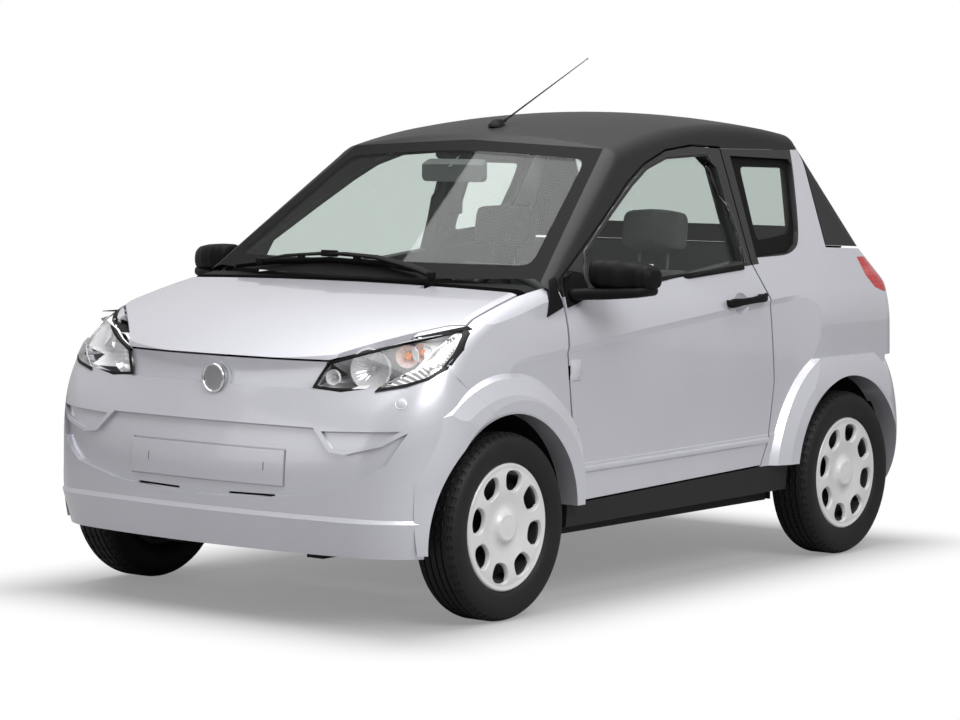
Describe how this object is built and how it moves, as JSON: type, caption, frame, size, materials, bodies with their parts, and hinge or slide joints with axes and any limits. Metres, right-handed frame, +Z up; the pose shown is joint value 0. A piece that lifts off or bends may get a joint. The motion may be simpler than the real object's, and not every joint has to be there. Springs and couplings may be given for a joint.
{
  "type": "two-seat microcar",
  "caption": "Small two-seat city car with opening doors, bonnet and rear hatch, steered front wheels and a hollow cabin.",
  "frame": {"origin": "on the ground, below the middle of the car's overall length and width", "axes": "+Y from the nose to the tail, +Z up, +X to the car's left side"},
  "size_m": [1.775, 2.7412, 1.6104],
  "materials": {
    "body_paint": "metallic",
    "roof_trim": "satin",
    "black_plastic": "satin",
    "lamp_clear": "clear",
    "bright_metal": "gloss",
    "lamp_red": "gloss",
    "window": "clear",
    "dark_window": "clear",
    "tyre_rubber": "matte",
    "rim_steel": "satin",
    "cover_silver": "satin",
    "chassis_metal": "matte",
    "engine_metal": "matte",
    "cabin_plastic": "matte",
    "seat_fabric": "matte"
  },
  "bodies": {
    "chassis": {"floor_pan": "chassis_metal", "rear_deck": "chassis_metal", "front_bumper": "body_paint", "wing_left": "body_paint", "wing_right": "body_paint", "cowl": "black_plastic", "headlamp_lenses": "lamp_clear", "headlamp_bowls": "bright_metal", "nose_disc": "bright_metal", "cabin_mirror": "cabin_plastic", "roof": "roof_trim", "windscreen": "window", "quarter_left": "body_paint", "quarter_right": "body_paint", "quarter_glasses": "window", "tail_lamps": "lamp_red", "tail_panel": "body_paint", "rear_bumper": "body_paint", "sills": "black_plastic", "front_subframe": "chassis_metal", "rear_axle": "chassis_metal", "engine_block": "engine_metal", "dashboard": "cabin_plastic", "seat_left": "seat_fabric", "seat_right": "seat_fabric", "wiper": "black_plastic", "aerial": "black_plastic"},
    "bonnet_lid": {"bonnet": "body_paint"},
    "hatch": {"hatch_frame": "black_plastic", "hatch_glass": "dark_window"},
    "door_left_leaf": {"door_left": "body_paint", "door_glass_left": "window", "mirror_left": "black_plastic", "handle_left": "black_plastic"},
    "door_right_leaf": {"door_right": "body_paint", "door_glass_right": "window", "mirror_right": "black_plastic", "handle_right": "black_plastic"},
    "steer_left": {"knuckle_left": "chassis_metal"},
    "steer_right": {"knuckle_right": "chassis_metal"},
    "steering_column": {"steering_wheel": "cabin_plastic"},
    "wheel_front_left": {"tyre_front_left": "tyre_rubber", "rim_front_left": "rim_steel", "cover_front_left": "cover_silver"},
    "wheel_front_right": {"tyre_front_right": "tyre_rubber", "rim_front_right": "rim_steel", "cover_front_right": "cover_silver"},
    "wheel_rear_left": {"tyre_rear_left": "tyre_rubber", "rim_rear_left": "rim_steel", "cover_rear_left": "cover_silver"},
    "wheel_rear_right": {"tyre_rear_right": "tyre_rubber", "rim_rear_right": "rim_steel", "cover_rear_right": "cover_silver"}
  },
  "joints": [
    {"name": "bonnet_hinge", "type": "hinge", "parent": "chassis", "child": "bonnet_lid", "pos_m": [0, -0.752, 0.886], "axis": [-1, 0, 0], "range_deg": [0, 45]},
    {"name": "hatch_hinge", "type": "hinge", "parent": "chassis", "child": "hatch", "pos_m": [0, 0.9175, 1.385], "axis": [1, 0, 0], "range_deg": [0, 75]},
    {"name": "door_left_hinge", "type": "hinge", "parent": "chassis", "child": "door_left_leaf", "pos_m": [0.697, -0.528, 0.59], "axis": [0, 0, -1], "range_deg": [0, 65]},
    {"name": "door_right_hinge", "type": "hinge", "parent": "chassis", "child": "door_right_leaf", "pos_m": [-0.697, -0.528, 0.59], "axis": [0, 0, 1], "range_deg": [0, 65]},
    {"name": "steer_left", "type": "hinge", "parent": "chassis", "child": "steer_left", "pos_m": [0.56, -0.889, 0.29], "axis": [0, 0, 1], "range_deg": [-30, 30]},
    {"name": "steer_right", "type": "hinge", "parent": "chassis", "child": "steer_right", "pos_m": [-0.56, -0.889, 0.29], "axis": [0, 0, 1], "range_deg": [-30, 30]},
    {"name": "steering_wheel_turn", "type": "hinge", "parent": "chassis", "child": "steering_column", "pos_m": [0.29, -0.27, 0.8], "axis": [0, 0.8762, 0.4819], "range_deg": [-480, 480]},
    {"name": "wheel_front_left_spin", "type": "hinge", "parent": "steer_left", "child": "wheel_front_left", "pos_m": [0.66, -0.889, 0.2665], "axis": [1, 0, 0], "continuous": true},
    {"name": "wheel_front_right_spin", "type": "hinge", "parent": "steer_right", "child": "wheel_front_right", "pos_m": [-0.66, -0.889, 0.2665], "axis": [1, 0, 0], "continuous": true},
    {"name": "wheel_rear_left_spin", "type": "hinge", "parent": "chassis", "child": "wheel_rear_left", "pos_m": [0.66, 0.939, 0.2665], "axis": [1, 0, 0], "continuous": true},
    {"name": "wheel_rear_right_spin", "type": "hinge", "parent": "chassis", "child": "wheel_rear_right", "pos_m": [-0.66, 0.939, 0.2665], "axis": [1, 0, 0], "continuous": true}
  ],
  "couplings": [
    {"joint": "steer_right", "follows": "steer_left", "ratio": 1},
    {"joint": "steering_wheel_turn", "follows": "steer_left", "ratio": 16}
  ]
}
